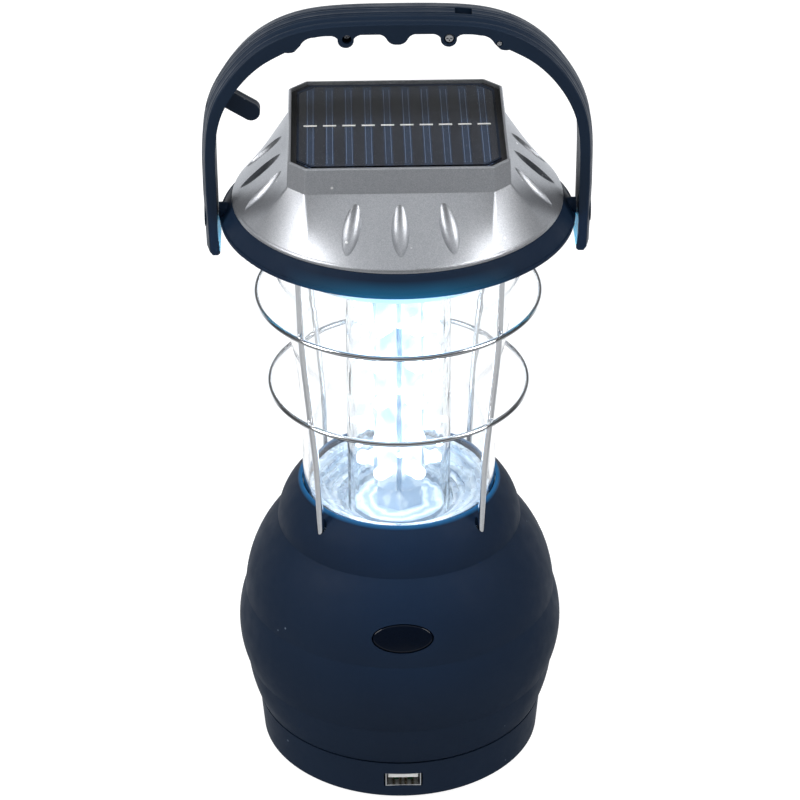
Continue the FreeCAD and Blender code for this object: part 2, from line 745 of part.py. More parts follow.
def slope_point(depth, half_len, share, down):
    """A point of the slope that faces +X: share along its top edge from the middle, down from 0 to 1."""
    turn = share * math.degrees(math.asin(half_len / SKIRT_R))
    high = V(depth, share * half_len, BOX_Z0)
    return high + (polar(SKIRT_R, turn, SKIRT_Z) - high) * down


def dimples(grow):
    """Three almonds on each slope, the outer two spreading downwards."""
    cuts = []
    faces = ((0, BOX_X, BOX_Y - BOX_CUT), (90, BOX_Y, BOX_X - BOX_CUT),
             (180, BOX_X, BOX_Y - BOX_CUT), (270, BOX_Y, BOX_X - BOX_CUT))
    for azimuth, depth, half_len in faces:
        for step in (-1, 0, 1):
            start = slope_point(depth, half_len, step * 0.45, 0.14)
            end = slope_point(depth, half_len, step * 0.55, 0.86)
            middle = slope_point(depth, half_len, step * 0.5, 0.5)
            level = slope_point(depth, half_len, step * 0.5 + 0.05, 0.5) - middle
            down = (end - start).normalize()
            outward = level.cross(down).normalize()
            if outward.z < 0:
                outward = outward * -1
            cutter = almond(grow)
            turn = FreeCAD.Rotation(V(1, 0, 0), down)
            cutter.Placement = FreeCAD.Placement(middle + outward * DIMPLE_LIFT, turn)
            cuts += around(cutter, [azimuth])
    return cuts


PANEL_RIM = 1.4
PANEL_FLOOR = 252.4


def head_cover():
    """Silver cover: a round skirt that rises to a square box with a recess for the panel."""
    wall = COVER_WALL
    inner_r = SKIRT_R - wall
    inner_z1 = BOX_Z0 - 1.2
    edge = turned((0, COVER_Z0), (COVER_R + 0.1, COVER_Z0), ((COVER_R, COVER_Z0 + 0.9), (SKIRT_R, SKIRT_Z)),
                  (0, SKIRT_Z))
    shoulder = BOX_Z1 - BOX_EDGE
    top_x = BOX_X - BOX_DRAFT
    top_y = BOX_Y - BOX_DRAFT
    outside = fused([edge, round_to_box(SKIRT_R, SKIRT_Z, BOX_X, BOX_Y, BOX_CUT, BOX_Z0, RIDGE_R),
                     box_prism(BOX_X, BOX_Y, BOX_CUT, BOX_Z0, shoulder, BOX_DRAFT, RIDGE_R),
                     box_prism(top_x, top_y, BOX_CUT, shoulder, BOX_Z1, BOX_EDGE, RIDGE_R)])
    inside = fused([post(0, 0, COVER_Z0 - 1, SKIRT_Z, inner_r),
                    round_to_box(inner_r, SKIRT_Z, BOX_X - wall, BOX_Y - wall, BOX_CUT, inner_z1),
                    box_prism(BOX_X - wall, BOX_Y - wall, BOX_CUT, inner_z1, PANEL_FLOOR - 1.6)])
    dents = group(dimples(0))
    backs = group(dimples(DIMPLE_BACK)).common(box_prism(60, 60, 1, SKIRT_Z + 0.3, 260))
    cover = outside.cut(inside.cut(backs)).cut(dents)
    boss_room = outside.fuse(post(0, 0, 215, COVER_Z0 + 0.5, inner_r))
    fittings = [ring(inner_r, inner_r - 1.4, 223.0, COVER_Z0 + 2.0)]
    holes = [box_prism(BOX_X - PANEL_RIM, BOX_Y - PANEL_RIM, BOX_CUT - 0.6, PANEL_FLOOR, BOX_Z1 + 1)]
    holes.append(post(20, 0, 248, 254, 3.0))
    for azimuth in HEAD_SCREWS:
        spot = polar(HEAD_SCREW_R, azimuth)
        boss = post(spot.x, spot.y, RIM_PLATE_TOP, 236, 2.8)
        fittings.append(boss.common(boss_room).cut(dents))
        holes.append(post(spot.x, spot.y, 218, 226.0, 1.3 + RUN_GAP))
    return cover.multiFuse(fittings).cut(group(holes)).removeSplitter()


SEAL_W = 1.8
PANEL_X = BOX_X - PANEL_RIM - SEAL_W - 0.2
PANEL_Y = BOX_Y - PANEL_RIM - SEAL_W - 0.2
PANEL_CUT = 5.0


def panel_seal():
    rim = PANEL_RIM + 0.1
    outer = box_prism(BOX_X - rim, BOX_Y - rim, BOX_CUT - 0.6, PANEL_FLOOR, PANEL_FLOOR + 1.2)
    return outer.cut(box_prism(PANEL_X + 0.1, PANEL_Y + 0.1, PANEL_CUT, PANEL_FLOOR - 1, PANEL_FLOOR + 2))


def panel_board():
    board = box_prism(PANEL_X, PANEL_Y, PANEL_CUT, PANEL_FLOOR, PANEL_FLOOR + 0.9)
    return board.cut(post(20, 0, 250, 254, 1.3))


CELL_PITCH = 6.75               # the outermost strips are cut off by the panel's edge
CELL_GAP = 3.1


def solar_cells():
    """Narrow silicon strips side by side, front to back."""
    face = box_prism(PANEL_X - 0.9, PANEL_Y - 0.9, PANEL_CUT, PANEL_FLOOR + 0.9, PANEL_FLOOR + 1.2)
    strips = []
    for i in range(CELL_STRIPS):
        middle = (i - (CELL_STRIPS - 1) / 2) * CELL_PITCH
        half = (CELL_PITCH - CELL_GAP) / 2
        strips.append(slab(middle - half, middle + half, -PANEL_Y, PANEL_Y, 250, 256).common(face))
    return group(strips)


def cell_tabbing():
    """Short ribbons across the gaps between the strips."""
    tabs = []
    for i in range(1, CELL_STRIPS):
        x = (i - CELL_STRIPS / 2) * CELL_PITCH
        tabs.append(slab(x - 2.3, x + 2.3, -0.4, 0.4, PANEL_FLOOR + 1.2, PANEL_FLOOR + 1.35))
    return group(tabs)


def panel_window():
    window = box_prism(PANEL_X, PANEL_Y, PANEL_CUT, PANEL_FLOOR + 0.9, PANEL_FLOOR + 2.1)
    pocket = box_prism(PANEL_X - 0.8, PANEL_Y - 0.8, PANEL_CUT, PANEL_FLOOR, PANEL_FLOOR + 1.36)
    return window.cut(pocket)


def panel_lead():
    points = [V(20, 0, PANEL_FLOOR), V(20, 0, 238), V(0, 0, 222), V(0, 0, 40), V(0, 14, 36), V(0, 27, 36),
              V(0, 27, 32.3)]
    return bent_lead(points, 1.0, (8.0, 8.0, 6.0, 5.0, 2.0))


# Handle -------------------------------------------------------------------------------------
BAIL_OUTER = ((67.2, 232.0), (67.2, 244.0), (65.6, 260.5), (58.9, 275.3), (48.5, 286.8), (34.4, 293.9),
              (18.0, 296.2), (0.0, 296.5))
BAIL_INNER = ((63.6, 232.0), (63.6, 244.0), (62.2, 258.6), (54.6, 273.8), (44.8, 282.9), (38.4, 286.4))
GRIP_Z = 292.7                  # underside of the grip between its bumps
BOSS_X = 17.6                   # screw bosses under the grip
TAIL_Z = 208.5
TAIL_X = (62.9, 66.6)
ARM_X = 63.6                    # inner face of the arms beside the head


def mirrored(points):
    return [(-x, z) for x, z in points[::-1]]


def rail(lift, y=0.0):
    """The handle's outer line over the top, moved outwards by lift, from right to left."""
    base = spline([xz(p) for p in BAIL_OUTER + tuple(mirrored(BAIL_OUTER[:-1]))], V(0, 0, 1), V(0, 0, -1))
    points = []
    for x, z in BAIL_OUTER + tuple(mirrored(BAIL_OUTER[:-1])):
        tangent = base.tangent(base.parameter(V(x, 0, z)))[0]
        outward = V(tangent.z, 0, -tangent.x)
        points.append(V(x, 0, z) + outward * lift + V(0, y, 0))
    return spline(points, V(0, 0, 1), V(0, 0, -1))


def grip_underside():
    """Steps along the grip from right to left: shoulder, screw boss and middle bump, then mirrored."""
    right = [((36.6, 286.3), (35.2, 286.7)), (33.2, 288.9), ((31.4, 291.0), (28.4, 291.9)),
             ((25.9, 292.3), (23.2, 292.4)), ((21.5, 292.1), (BOSS_X + 2.75, 291.15)),
             ((BOSS_X, 287.9), (BOSS_X - 2.75, 291.15)), ((13.6, 292.3), (12.0, GRIP_Z)), (6.0, GRIP_Z),
             ((4.6, 292.1), (3.5, 290.7)), ((2.1, 289.3), (0.0, 288.9))]
    corners = [BAIL_INNER[-1]] + [step[1] if isinstance(step[0], tuple) else step for step in right]
    left = []
    for i in range(len(right) - 1, -1, -1):
        there = (-corners[i][0], corners[i][1])
        if isinstance(right[i][0], tuple):
            left.append(((-right[i][0][0], right[i][0][1]), there))
        else:
            left.append(there)
    return right + left


def bail_outline():
    """The handle's closed outline at its front face, inside the chamfer of its outer edge."""
    y = -BAIL_HALF_W
    slope = V(-0.88, 0, 0.47)
    edges = spline_pieces(rail(-BAIL_EDGE, y))
    edges += spline_pieces(spline([xz(p, y) for p in BAIL_INNER], V(0, 0, 1), slope))
    slope.z = -slope.z
    edges += spline_pieces(spline([xz(p, y) for p in mirrored(BAIL_INNER)], slope, V(0, 0, -1)))
    edges += path_edges(BAIL_INNER[-1], grip_underside(), y)
    for side in (1, -1):
        steps = [(side * (66.9 - BAIL_EDGE), 222.0), (side * (TAIL_X[1] - BAIL_EDGE), TAIL_Z + 1.2),
                 (side * (TAIL_X[1] - 1.0), TAIL_Z), (side * (TAIL_X[0] + 0.8), TAIL_Z),
                 (side * TAIL_X[0], TAIL_Z + 0.8), (side * (ARM_X - 0.1), 216.0), (side * ARM_X, 232.0)]
        edges += path_edges((side * (67.2 - BAIL_EDGE), 232.0), steps, y)
    return Part.Wire(Part.__sortEdges__(edges))


def crown_outline(lift, y):
    """A thin strip under the handle's outer line, raised by lift, in the plane y."""
    edges = spline_pieces(rail(lift, y)) + spline_pieces(rail(-1.0, y))
    for side in (1, -1):
        steps = [(side * (66.9 + lift), 222.0), (side * (TAIL_X[1] + lift), TAIL_Z + 1.2),
                 (side * (TAIL_X[1] - 1.0), TAIL_Z), (side * 65.9, 222.0), (side * 66.2, 232.0)]
        edges += path_edges((side * (67.2 + lift), 232.0), steps, y)
    return Part.Wire(Part.__sortEdges__(edges))


def bail_band():
    """The whole handle before it is split: crowned outside, flat inside."""
    half = GROOVE_HALF_W + 0.6
    face = BAIL_HALF_W
    levels = ((-BAIL_EDGE, -face), (0.0, BAIL_EDGE - face), (CROWN, -half), (CROWN, half),
              (0.0, face - BAIL_EDGE), (-BAIL_EDGE, face))
    wires = [crown_outline(lift, y) for lift, y in levels]
    pieces = [Part.Face(bail_outline()).extrude(V(0, 2 * BAIL_HALF_W, 0))]
    for near, away in zip(wires, wires[1:]):
        pieces.append(Part.makeLoft([near, away], True, True))
    for side in (-1, 1):
        pieces.append(rod(V(0, 0, PIVOT_Z), V(side, 0, 0), PAD_R, 66.0, PAD_X))
    return fused(pieces)


def rail_strip(top, under, x_right, end_z, half_w):
    """A strip that follows the handle from x_right over the top and down to end_z on the left."""
    edges = []
    ends = []
    for lift in (top, under):
        curve = rail(lift)
        start = curve.parameter(V(x_right, 0, 297 + lift))
        stop = curve.parameter(V(-66, 0, end_z))
        trimmed = curve.copy()
        trimmed.segment(min(start, stop), max(start, stop))
        edges.append(trimmed.toShape())
        ends.append((trimmed.StartPoint, trimmed.EndPoint))
    edges.append(Part.LineSegment(ends[0][0], ends[1][0]).toShape())
    edges.append(Part.LineSegment(ends[0][1], ends[1][1]).toShape())
    face = Part.Face(Part.Wire(Part.__sortEdges__(edges)))
    face.translate(V(0, -half_w, 0))
    return face.extrude(V(0, 2 * half_w, 0))


TAB_ROOT = V(-65.5, 0, 270.0)
TAB_END = V(-50.8, 0, 260.8)
TAB_HALF = 3.15


def tab_prism(half, reach, half_w):
    """The hook's tab: a round-ended bar through the handle."""
    along = (TAB_END - TAB_ROOT).normalize()
    across = V(-along.z, 0, along.x)
    end = TAB_END + along * reach
    corners = [TAB_ROOT + across * half, end + across * half, end - across * half, TAB_ROOT - across * half]
    nose = Part.Arc(corners[1], end + along * half, corners[2]).toShape()
    edges = [Part.LineSegment(corners[0], corners[1]).toShape(), nose]
    edges.append(Part.LineSegment(corners[2], corners[3]).toShape())
    edges.append(Part.LineSegment(corners[3], corners[0]).toShape())
    face = Part.Face(Part.Wire(edges))
    face.translate(V(0, -half_w, 0))
    return face.extrude(V(0, 2 * half_w, 0))


HOOK_THICK = 3.2
HOOK_HEEL_X = 20.0
SLOT_X = 25.8
STRIP_END_Z = 264.0


def hook_room():
    """What the hook needs clear inside the handle: its groove, its swing and its pivot."""
    x, z = HOOK_PIVOT
    groove = rail_strip(CROWN + 3, CROWN - HOOK_THICK - 0.3, SLOT_X, STRIP_END_Z - 0.5, GROOVE_HALF_W)
    through = rail_strip(CROWN + 3, -9.0, -49.0, STRIP_END_Z - 1.8, GROOVE_HALF_W)
    slot = slab(x, SLOT_X, -GROOVE_HALF_W, GROOVE_HALF_W, 280, 302)
    eye = rod(V(x, 0, z), V(0, 1, 0), 3.3, -GROOVE_HALF_W, GROOVE_HALF_W)
    return group([groove, through, slot, eye])


def handle_holes():
    """Screw holes across the halves and the pivot pins' sockets."""
    cuts = []
    for x, z, radius, head_r, head_y in ((HOOK_PIVOT[0], HOOK_PIVOT[1], 1.0, 1.9, -7.4),
                                         (-17.2, 290.9, 1.0, 1.7, -5.0), (34.9, 288.7, 0.7, 1.1, -8.3)):
        cuts.append(rod(V(x, 0, z), V(0, 1, 0), radius + RUN_GAP, -12, 7.0))
        cuts.append(rod(V(x, 0, z), V(0, 1, 0), head_r, -12, head_y))
    for side in (-1, 1):
        cuts.append(rod(V(0, 0, PIVOT_Z), V(side, 0, 0), PIVOT_R + 0.02, 62.0, PIN_X + 0.1))
    return group(cuts)


def handle_half(side):
    """One of the two mouldings; side is -1 at the front and 1 at the rear."""
    y0 = min(0, side * 12)
    half = bail_band().common(slab(-80, 80, y0, y0 + 12, 200, 305))
    return half.cut(hook_room()).cut(handle_holes()).removeSplitter()


def handle_screws():
    return group([cross_head_screw(1.5, 1.2, 0.9, 11.0, V(0, 1, 0), V(-17.2, -5.0, 290.9)),
                  cross_head_screw(0.95, 0.8, 0.6, 13.0, V(0, 1, 0), V(34.9, -8.3, 288.7))])


def pivot_pins():
    return group([rod(V(0, 0, PIVOT_Z), V(side, 0, 0), PIVOT_R, PIN_X0, PIN_X) for side in (-1, 1)])


def hook():
    x, z = HOOK_PIVOT
    strip = rail_strip(CROWN, CROWN - HOOK_THICK, HOOK_HEEL_X, STRIP_END_Z, HOOK_HALF_W)
    tab = tab_prism(TAB_HALF, 0.0, HOOK_HALF_W).cut(rail_strip(9, CROWN, 30, 240, 20))
    eye = rod(V(x, 0, z), V(0, 1, 0), 2.7, -HOOK_HALF_W, HOOK_HALF_W)
    neck = slab(x - 0.6, x + 2.2, -HOOK_HALF_W, HOOK_HALF_W, z, z + 4.5)
    body = fused([strip, tab, eye, neck])
    return body.cut(rod(V(x, 0, z), V(0, 1, 0), 0.95 + RUN_GAP, -5, 5)).removeSplitter()


def hook_pin():
    x, z = HOOK_PIVOT
    return cross_head_screw(1.75, 1.3, 0.95, 14.0, V(0, 1, 0), V(x, -7.4, z))


def guard_ring_lower():
    return guard_ring(RING_Z[0])


def guard_ring_upper():
    return guard_ring(RING_Z[1])


def handle_front():
    return handle_half(-1)


def handle_rear():
    return handle_half(1)


PARTS = (
    base_shell, feet, battery_door, battery_door_screw, battery_tray, battery_cells, battery_contacts,
    battery_springs, main_board, board_parts, board_screws, usb_shell, usb_tongue, usb_contacts,
    usb_board, base_screws, body_shell, power_button, switch_plunger, tact_switch, switch_board,
    switch_screws, globe_seat, seat_screws, lower_gasket, globe, upper_gasket, lower_reflector,
    inner_tube, led_column, led_boards, leds, upper_reflector, guard_rods, guard_ring_lower,
    guard_ring_upper, top_rim, head_screws, head_cover, panel_seal, panel_board, solar_cells,
    cell_tabbing, panel_window, panel_lead, handle_front, handle_rear, handle_screws, pivot_pins,
    hook, hook_pin,
)


def main():
    os.makedirs("parts", exist_ok=True)
    for make in PARTS:
        name = make.__name__
        shape = make()
        print(name, "solids", len(shape.Solids), "valid", shape.isValid(), "volume", round(shape.Volume, 1))
        shape.exportStep("parts/" + name + ".step")


main()
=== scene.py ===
import json
import math

import bpy
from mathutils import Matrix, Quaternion, Vector


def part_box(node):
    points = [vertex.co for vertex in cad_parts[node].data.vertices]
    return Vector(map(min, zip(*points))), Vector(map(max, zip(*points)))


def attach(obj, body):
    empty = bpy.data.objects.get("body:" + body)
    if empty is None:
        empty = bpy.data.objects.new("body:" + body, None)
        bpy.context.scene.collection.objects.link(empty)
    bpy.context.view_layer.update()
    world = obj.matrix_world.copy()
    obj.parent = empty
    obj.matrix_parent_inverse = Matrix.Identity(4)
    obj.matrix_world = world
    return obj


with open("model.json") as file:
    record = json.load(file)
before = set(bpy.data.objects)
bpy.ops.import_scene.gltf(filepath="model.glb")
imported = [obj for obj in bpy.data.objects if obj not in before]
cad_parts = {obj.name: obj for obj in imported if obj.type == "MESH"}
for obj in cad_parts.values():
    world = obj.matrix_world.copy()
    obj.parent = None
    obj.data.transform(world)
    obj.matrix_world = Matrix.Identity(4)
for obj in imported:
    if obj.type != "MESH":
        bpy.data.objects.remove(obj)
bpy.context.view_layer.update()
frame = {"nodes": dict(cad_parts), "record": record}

# Solar camping lantern, lit, on a white sweep. Metres, +Z up, front towards -Y.
MM = 0.001


# Camera, floor and light --------------------------------------------------------------------
CAMERA_AT = Vector((-0.0200, -1.0435, 0.7612))
CAMERA_TARGET = Vector((0.0, 0.0, 0.1425))
CAMERA_LENS = 149.08
CAMERA_SHIFT = 0.0017
CAMERA_ROLL = math.radians(-0.3)

# World light by direction: each ramp is (from, to) in the direction's own y, z or |x|.
WALL_LIGHT = 1.25
WALL_REACH = (0.35, 0.75)
WALL_FADE = (0.20, 0.42)
WALL_ABOVE = 0.05
CEILING_LIGHT = 0.62
CEILING_REACH = (0.62, 0.92)
FRONT_LIGHT = 0.50
FRONT_REACH = (-0.2, -0.75)
FRONT_FADE = (-0.08, -0.42)
FRONT_ABOVE = 0.06
SIDE_LIGHT = 0.45
SIDE_REACH = (0.50, 0.80)
SIDE_FADE = (-0.20, -0.50)
AMBIENT_LIGHT = 0.06
WORLD_TINT = (0.95, 0.975, 1.0, 1.0)

FLOOR_HALF = 4.0
FLOOR_GREY = 0.30
FLOOR_GLOW = 0.92

# Area lights: place, aim, size and power.
SIDE_BOX_AT = (1.10, -0.45, 0.93)
SIDE_BOX_AIM = (0, 0, 0.2)
SIDE_BOX_SIZE = (0.42, 0.75)
SIDE_BOXES = (("left_box", -1, 12.5), ("right_box", 1, 9.5))
TOP_BOX = ((0.0, -0.5, 1.7), (0, 0, 0.15), (0.7, 0.5), 9)
SPILL_BLUE = (0.22, 0.60, 1.0)
SPILL_CYAN = (0.35, 1.0, 0.8)
SPILL_UP = ((0.0, -0.088, 0.165), (0, -0.058, 0.222), (0.055, 0.01), 0.11)
SPILL_DOWN = ((0.0, -0.080, 0.158), (0, -0.042, 0.105), (0.05, 0.01), 0.022)
TAIL_LAMP_AT = (0.054, -0.006, 0.200)
TAIL_LAMP_AIM = (0.0640, 0.0, 0.214)
TAIL_LAMP_SIZE = (0.006, 0.006)
TAIL_LAMP_POWER = 0.12


def make_camera():
    data = bpy.data.cameras.new("camera")
    data.lens = CAMERA_LENS
    data.shift_x = CAMERA_SHIFT
    camera = bpy.data.objects.new("camera", data)
    camera.location = CAMERA_AT
    look = (CAMERA_TARGET - CAMERA_AT).to_track_quat("-Z", "Y")
    camera.rotation_mode = "QUATERNION"
    camera.rotation_quaternion = look @ Quaternion((0.0, 0.0, 1.0), CAMERA_ROLL)
    bpy.context.scene.collection.objects.link(camera)
    bpy.context.scene.camera = camera


def area_light(name, at, target, size, power, colour=(1.0, 1.0, 1.0)):
    data = bpy.data.lights.new(name, "AREA")
    data.shape = "RECTANGLE"
    data.size, data.size_y = size
    data.energy = power
    data.color = colour
    lamp = bpy.data.objects.new(name, data)
    lamp.location = at
    lamp.rotation_mode = "QUATERNION"
    lamp.rotation_quaternion = (Vector(target) - Vector(at)).to_track_quat("-Z", "Y")
    bpy.context.scene.collection.objects.link(lamp)
    return lamp


def world_step(tree, value, reach, to_low, to_high):
    """A smooth ramp from to_low to to_high while the value goes through its reach."""
    low, high = reach
    ramp = tree.nodes.new("ShaderNodeMapRange")
    ramp.interpolation_type = "SMOOTHSTEP"
    for key, number in (("From Min", low), ("From Max", high), ("To Min", to_low), ("To Max", to_high)):
        ramp.inputs[key].default_value = number
    tree.links.new(value, ramp.inputs["Value"])
    return ramp.outputs[0]


def world_math(tree, operation, first, second):
    made = tree.nodes.new("ShaderNodeMath")
    made.operation = operation
    for index, value in enumerate((first, second)):
        if isinstance(value, float):
            made.inputs[index].default_value = value
        else:
            tree.links.new(value, made.inputs[index])
    return made.outputs[0]


def make_world():
    """A dark studio: a white wall low behind the lantern, a grey ceiling, and grey front and side floors."""
    world = bpy.data.worlds.new("studio")
    world.use_nodes = True
    tree = world.node_tree
    tree.nodes.clear()
    out = tree.nodes.new("ShaderNodeOutputWorld")
    background = tree.nodes.new("ShaderNodeBackground")
    where = tree.nodes.new("ShaderNodeTexCoord")
    split = tree.nodes.new("ShaderNodeSeparateXYZ")
    tree.links.new(where.outputs["Generated"], split.inputs[0])
    y = split.outputs["Y"]
    z = split.outputs["Z"]
    wall = world_math(tree, "MULTIPLY", world_step(tree, y, WALL_REACH, 0.0, WALL_LIGHT),
                      world_step(tree, z, WALL_FADE, 1.0, WALL_ABOVE))
    ceiling = world_step(tree, z, CEILING_REACH, 0.0, CEILING_LIGHT)
    front = world_math(tree, "MULTIPLY", world_step(tree, y, FRONT_REACH, 0.0, FRONT_LIGHT),
                       world_step(tree, z, FRONT_FADE, FRONT_ABOVE, 1.0))
    aside = world_math(tree, "ABSOLUTE", split.outputs["X"], 0.0)
    sides = world_math(tree, "MULTIPLY", world_step(tree, aside, SIDE_REACH, 0.0, SIDE_LIGHT),
                       world_step(tree, z, SIDE_FADE, 0.0, 1.0))
    behind = world_math(tree, "ADD", wall, ceiling)
    total = world_math(tree, "ADD", behind, world_math(tree, "ADD", front, sides))
    tree.links.new(world_math(tree, "ADD", total, AMBIENT_LIGHT), background.inputs["Strength"])
    background.inputs["Color"].default_value = WORLD_TINT
    tree.links.new(background.outputs[0], out.inputs[0])
    bpy.context.scene.world = world


def make_floor():
    """A white sweep that glows nearly by itself, and that polished parts don't mirror."""
    mesh = bpy.data.meshes.new("floor")
    half = FLOOR_HALF
    corners = [(-half, -half, 0), (half, -half, 0), (half, half, 0), (-half, half, 0)]
    mesh.from_pydata(corners, [], [(0, 1, 2, 3)])
    floor = bpy.data.objects.new("floor", mesh)
    bpy.context.scene.collection.objects.link(floor)
    floor.visible_glossy = False
    material = bpy.data.materials.new("floor_white")
    material.use_nodes = True
    shader = material.node_tree.nodes["Principled BSDF"]
    shader.inputs["Base Color"].default_value = (FLOOR_GREY, FLOOR_GREY, FLOOR_GREY, 1)
    shader.inputs["Roughness"].default_value = 0.9
    shader.inputs["Specular IOR Level"].default_value = 0.0
    shader.inputs["Emission Color"].default_value = (1, 1, 1, 1)
    shader.inputs["Emission Strength"].default_value = FLOOR_GLOW
    mesh.materials.append(material)


def make_studio():
    """The world, the floor, three soft boxes, and hidden lamps for the blue light spilt by the lantern."""
    make_world()
    make_floor()
    x, y, z = SIDE_BOX_AT
    for name, side, power in SIDE_BOXES:
        area_light(name, (side * x, y, z), SIDE_BOX_AIM, SIDE_BOX_SIZE, power)
    area_light("top_box", *TOP_BOX).visible_glossy = False
    spill = [area_light("spill_up", *SPILL_UP, SPILL_BLUE), area_light("spill_down", *SPILL_DOWN, SPILL_BLUE)]
    for side in (-1, 1):
        at = (side * TAIL_LAMP_AT[0], *TAIL_LAMP_AT[1:])
        aim = (side * TAIL_LAMP_AIM[0], *TAIL_LAMP_AIM[1:])
        name = f"spill_tail_{side}"
        spill.append(area_light(name, at, aim, TAIL_LAMP_SIZE, TAIL_LAMP_POWER, SPILL_CYAN))
    for lamp in spill:
        lamp.visible_camera = False
        lamp.visible_glossy = False
        lamp.visible_transmission = False


# Node helpers -------------------------------------------------------------------------------
def new_material(name):
    material = bpy.data.materials.new(name)
    material.use_nodes = True
    tree = material.node_tree
    tree.nodes.clear()
    return material, tree


def add(tree, kind, values=(), **settings):
    """A node with its settings and its unlinked inputs set."""
    made = tree.nodes.new("ShaderNode" + kind)
    for key, value in settings.items():
        setattr(made, key, value)
    for key, value in dict(values).items():
        made.inputs[key].default_value = value
    return made


def join(tree, source, target, socket):
    tree.links.new(source, target.inputs[socket])


def noise(tree, scale, detail=2.0, stretch=None):
    """Noise over the object's own coordinates, which are metres."""
    where = add(tree, "TexCoord").outputs["Object"]
    if stretch:
        mapping = add(tree, "Mapping", {"Scale": stretch})
        join(tree, where, mapping, "Vector")
        where = mapping.outputs[0]
    made = add(tree, "TexNoise", {"Scale": scale, "Detail": detail})
    join(tree, where, made, "Vector")
    return made.outputs["Fac"]


def ranged(tree, value, low, high, to_low, to_high):
    made = add(tree, "MapRange", {"From Min": low, "From Max": high, "To Min": to_low, "To Max": to_high})
    join(tree, value, made, "Value")
    return made.outputs[0]


def mixed(tree, factor, colour_a, colour_b):
    made = add(tree, "Mix", data_type="RGBA")
    join(tree, factor, made, 0)
    for index, colour in ((6, colour_a), (7, colour_b)):
        if isinstance(colour, tuple):
            made.inputs[index].default_value = (*colour, 1.0)
        else:
            join(tree, colour, made, index)
    return made.outputs[2]


def specks(tree, scale, size):
    """Sparse round dust specks: 1 inside a speck, 0 outside."""
    where = add(tree, "TexCoord").outputs["Object"]
    cells = add(tree, "TexVoronoi", {"Scale": scale, "Randomness": 1.0})
    join(tree, where, cells, "Vector")
    return ranged(tree, cells.outputs["Distance"], size, size * 0.6, 0.0, 1.0)


def bumped(tree, height, strength, distance, normal=None):
    made = add(tree, "Bump", {"Strength": strength, "Distance": distance})
    join(tree, height, made, "Height")
    if normal:
        join(tree, normal, made, "Normal")
    return made.outputs[0]


def shader_of(material):
    return next(n for n in material.node_tree.nodes if n.type == "BSDF_PRINCIPLED")


def principled(tree, values):
    shader = add(tree, "BsdfPrincipled", values)
    out = add(tree, "OutputMaterial")
    join(tree, shader.outputs[0], out, "Surface")
    return shader


# Materials ----------------------------------------------------------------------------------
SHADE_SCALE = 45.0
GLOSS_SCALE = 160.0
GRAIN_SCALE = 2600.0
DUST_SCALE = 70.0
DUST_COLOUR = (0.10, 0.13, 0.18)
FLAKE_SCALE = 5200.0
FLAKE_DARK = (0.385, 0.400, 0.430)
FLAKE_LIGHT = (0.545, 0.555, 0.580)
SPARKLE_SCALE = 120.0
RIB_SCALE = 110.0
RIB_COLOUR = (0.016, 0.026, 0.045)
# Painted caustics on the reflector and the light column: rings of painted light and painted shade.
CAUSTIC_SCALE = 75.0
CAUSTIC_SHADE_DIM = (0.22, 0.32, 0.46)
CAUSTIC_LIGHT_BRIGHT = (0.93, 0.96, 1.0)
NAVY_DARK = (0.0046, 0.0122, 0.0285)
NAVY_LIGHT = (0.0058, 0.0150, 0.0345)
LED_WHITE = (0.80, 0.91, 1.0)


def moulded(name, dark, light, roughness, grain, specular=0.3, dust=0.0):
    """Moulded plastic: a fine grain, slow shade changes, uneven gloss and a little dust."""
    material, tree = new_material(name)
    shader = principled(tree, {"Specular IOR Level": specular})
    shade = mixed(tree, noise(tree, SHADE_SCALE, 3.0), dark, light)
    if dust:
        shade = mixed(tree, specks(tree, DUST_SCALE, dust), shade, DUST_COLOUR)
    join(tree, shade, shader, "Base Color")
    gloss = ranged(tree, noise(tree, GLOSS_SCALE, 4.0), 0.3, 0.7, roughness - 0.06, roughness + 0.06)
    join(tree, gloss, shader, "Roughness")
    join(tree, bumped(tree, noise(tree, GRAIN_SCALE, 3.0), grain, 0.0001), shader, "Normal")
    return material


def ribbed(material):
    """Fine moulded lines along the handle, one every few millimetres of its width."""
    tree = material.node_tree
    shader = shader_of(material)
    where = add(tree, "TexCoord").outputs["Object"]
    lines = add(tree, "TexWave", {"Scale": RIB_SCALE, "Distortion": 0.3}, bands_direction="Y")
    join(tree, where, lines, "Vector")
    height = ranged(tree, lines.outputs["Fac"], 0.6, 1.0, 0.0, 1.0)
    grain = shader.inputs["Normal"].links[0].from_socket
    join(tree, bumped(tree, height, 0.55, 0.0004, grain), shader, "Normal")
    flat = shader.inputs["Base Color"].links[0].from_socket
    share = ranged(tree, height, 0.0, 1.0, 0.0, 0.5)
    join(tree, mixed(tree, share, flat, RIB_COLOUR), shader, "Base Color")
    return material


def painted_caustics(material, share):
    """Painted caustics: wavering rings of painted light and painted shade about the upright axis, standing in
    for light gathered by the clear parts around.
    """
    tree = material.node_tree
    shader = shader_of(material)
    where = add(tree, "TexCoord").outputs["Object"]
    wave = {"Scale": CAUSTIC_SCALE, "Distortion": 5.0, "Detail": 2.0, "Detail Scale": 1.6}
    rings = add(tree, "TexWave", wave, wave_type="RINGS", rings_direction="Z")
    join(tree, where, rings, "Vector")
    plain = shader.inputs["Base Color"].links[0].from_socket
    # Painted shade in the dim rings, painted light in the bright ones.
    dim = ranged(tree, rings.outputs["Fac"], 0.55, 0.15, 0.0, share)
    shade = mixed(tree, dim, plain, CAUSTIC_SHADE_DIM)
    bright = ranged(tree, rings.outputs["Fac"], 0.75, 0.95, 0.0, share)
    join(tree, mixed(tree, bright, shade, CAUSTIC_LIGHT_BRIGHT), shader, "Base Color")
    return material


